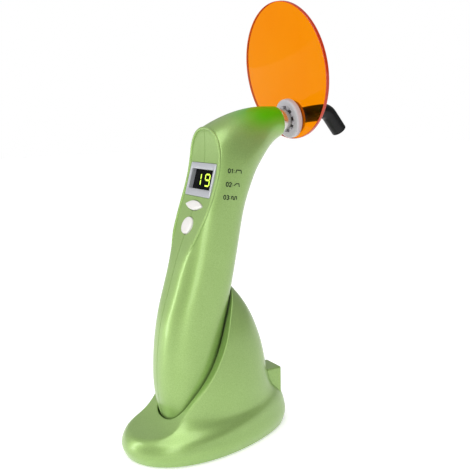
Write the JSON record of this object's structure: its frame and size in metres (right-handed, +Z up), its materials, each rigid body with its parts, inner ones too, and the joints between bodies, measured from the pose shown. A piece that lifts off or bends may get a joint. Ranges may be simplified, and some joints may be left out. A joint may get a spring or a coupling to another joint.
{
  "type": "dental curing light",
  "caption": "Cordless dental curing light with a bent light guide and orange eye shield, standing in an oval charging cradle.",
  "frame": {"origin": "centre of the sole's underside, where the charging cradle stands on the table", "axes": "+Z up, +X to the rear where the light guide and the charging inlet point, display facing -X"},
  "size_m": [0.1526, 0.0784, 0.2489],
  "materials": {
    "green_shell": "pearl",
    "grey_plastic": "satin",
    "black_plastic": "satin",
    "white_key": "satin",
    "bezel_silver": "satin",
    "dark_window": "gloss",
    "hub_grey": "satin",
    "orange_shield": "transparent gloss",
    "guide_glass": "gloss",
    "steel": "satin",
    "chrome": "polished",
    "gold_contact": "polished",
    "circuit_board": "satin",
    "cell_wrap": "satin",
    "aluminium": "satin",
    "clear_lens": "polished",
    "soft_rubber": "matte"
  },
  "bodies": {
    "cradle": {"base_shell": "green_shell", "base_plate": "grey_plastic", "base_sole": "soft_rubber", "base_screws": "steel", "charge_board": "circuit_board", "charge_pins": "gold_contact", "dc_jack": "black_plastic"},
    "handpiece": {"shell_right": "green_shell", "shell_left": "green_shell", "shell_screws": "steel", "display_bezel": "bezel_silver", "display_window": "dark_window", "display_module": "black_plastic", "display_board": "circuit_board", "control_board": "circuit_board", "mode_switch": "black_plastic", "power_switch": "black_plastic", "buzzer": "black_plastic", "battery_cell": "cell_wrap", "tail_contacts": "gold_contact", "trim_ring": "chrome", "guide_socket": "aluminium", "lens_holder": "aluminium", "collimator_lens": "clear_lens", "led_emitter": "clear_lens", "led_star": "aluminium", "heat_sink": "aluminium"},
    "mode_key": {"mode_button": "white_key"},
    "power_key": {"power_button": "white_key"},
    "guide_slide": {"guide_seal": "soft_rubber"},
    "light_guide": {"guide_ferrule": "steel", "guide_rod": "guide_glass"},
    "shield": {"shield_hub": "hub_grey", "shield_disc": "orange_shield", "shield_clip": "hub_grey"}
  },
  "joints": [
    {"name": "handpiece_lift", "type": "slide", "parent": "cradle", "child": "handpiece", "axis": [0, 0, 1], "range_m": [0, 0.085]},
    {"name": "mode_key_press", "type": "slide", "parent": "handpiece", "child": "mode_key", "axis": [0.9135, 0, -0.4067], "range_m": [0, 0.0006], "stiffness_N_per_m": 2500, "springref_m": -0.0003},
    {"name": "power_key_press", "type": "slide", "parent": "handpiece", "child": "power_key", "axis": [0.9135, 0, -0.4067], "range_m": [0, 0.0006], "stiffness_N_per_m": 2500, "springref_m": -0.0003},
    {"name": "guide_pull", "type": "slide", "parent": "handpiece", "child": "guide_slide", "axis": [0.9874, 0, 0.1582], "range_m": [0, 0.024]},
    {"name": "guide_spin", "type": "hinge", "parent": "guide_slide", "child": "light_guide", "pos_m": [0.0506, 0, 0.1818], "axis": [0.9874, 0, 0.1582], "continuous": true},
    {"name": "shield_spin", "type": "hinge", "parent": "light_guide", "child": "shield", "pos_m": [0.0506, 0, 0.1818], "axis": [0.9874, 0, 0.1582], "continuous": true}
  ]
}
